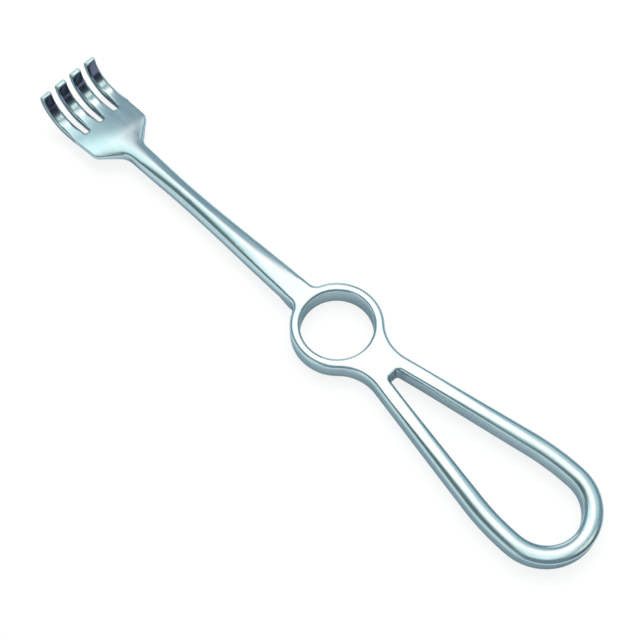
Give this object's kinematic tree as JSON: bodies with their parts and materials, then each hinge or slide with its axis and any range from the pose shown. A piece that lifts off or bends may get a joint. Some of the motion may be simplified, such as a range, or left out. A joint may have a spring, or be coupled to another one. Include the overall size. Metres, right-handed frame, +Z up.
{
  "type": "surgical rake retractor",
  "caption": "Handheld surgical rake retractor: curled blunt prongs on a slim forged shaft, with a finger ring and an open palm loop for pulling tissue back.",
  "frame": {"origin": "centre of the finger ring, half way up the grip's depth", "axes": "+X along the instrument towards the palm loop, -X towards the rake, +Y across it, +Z up, the way the prongs curl when the grip lies on a table"},
  "size_m": [0.22, 0.0334, 0.0159],
  "materials": {
    "steel": "bright satin polish"
  },
  "bodies": {
    "root": {"retractor": "steel"}
  },
  "joints": []
}
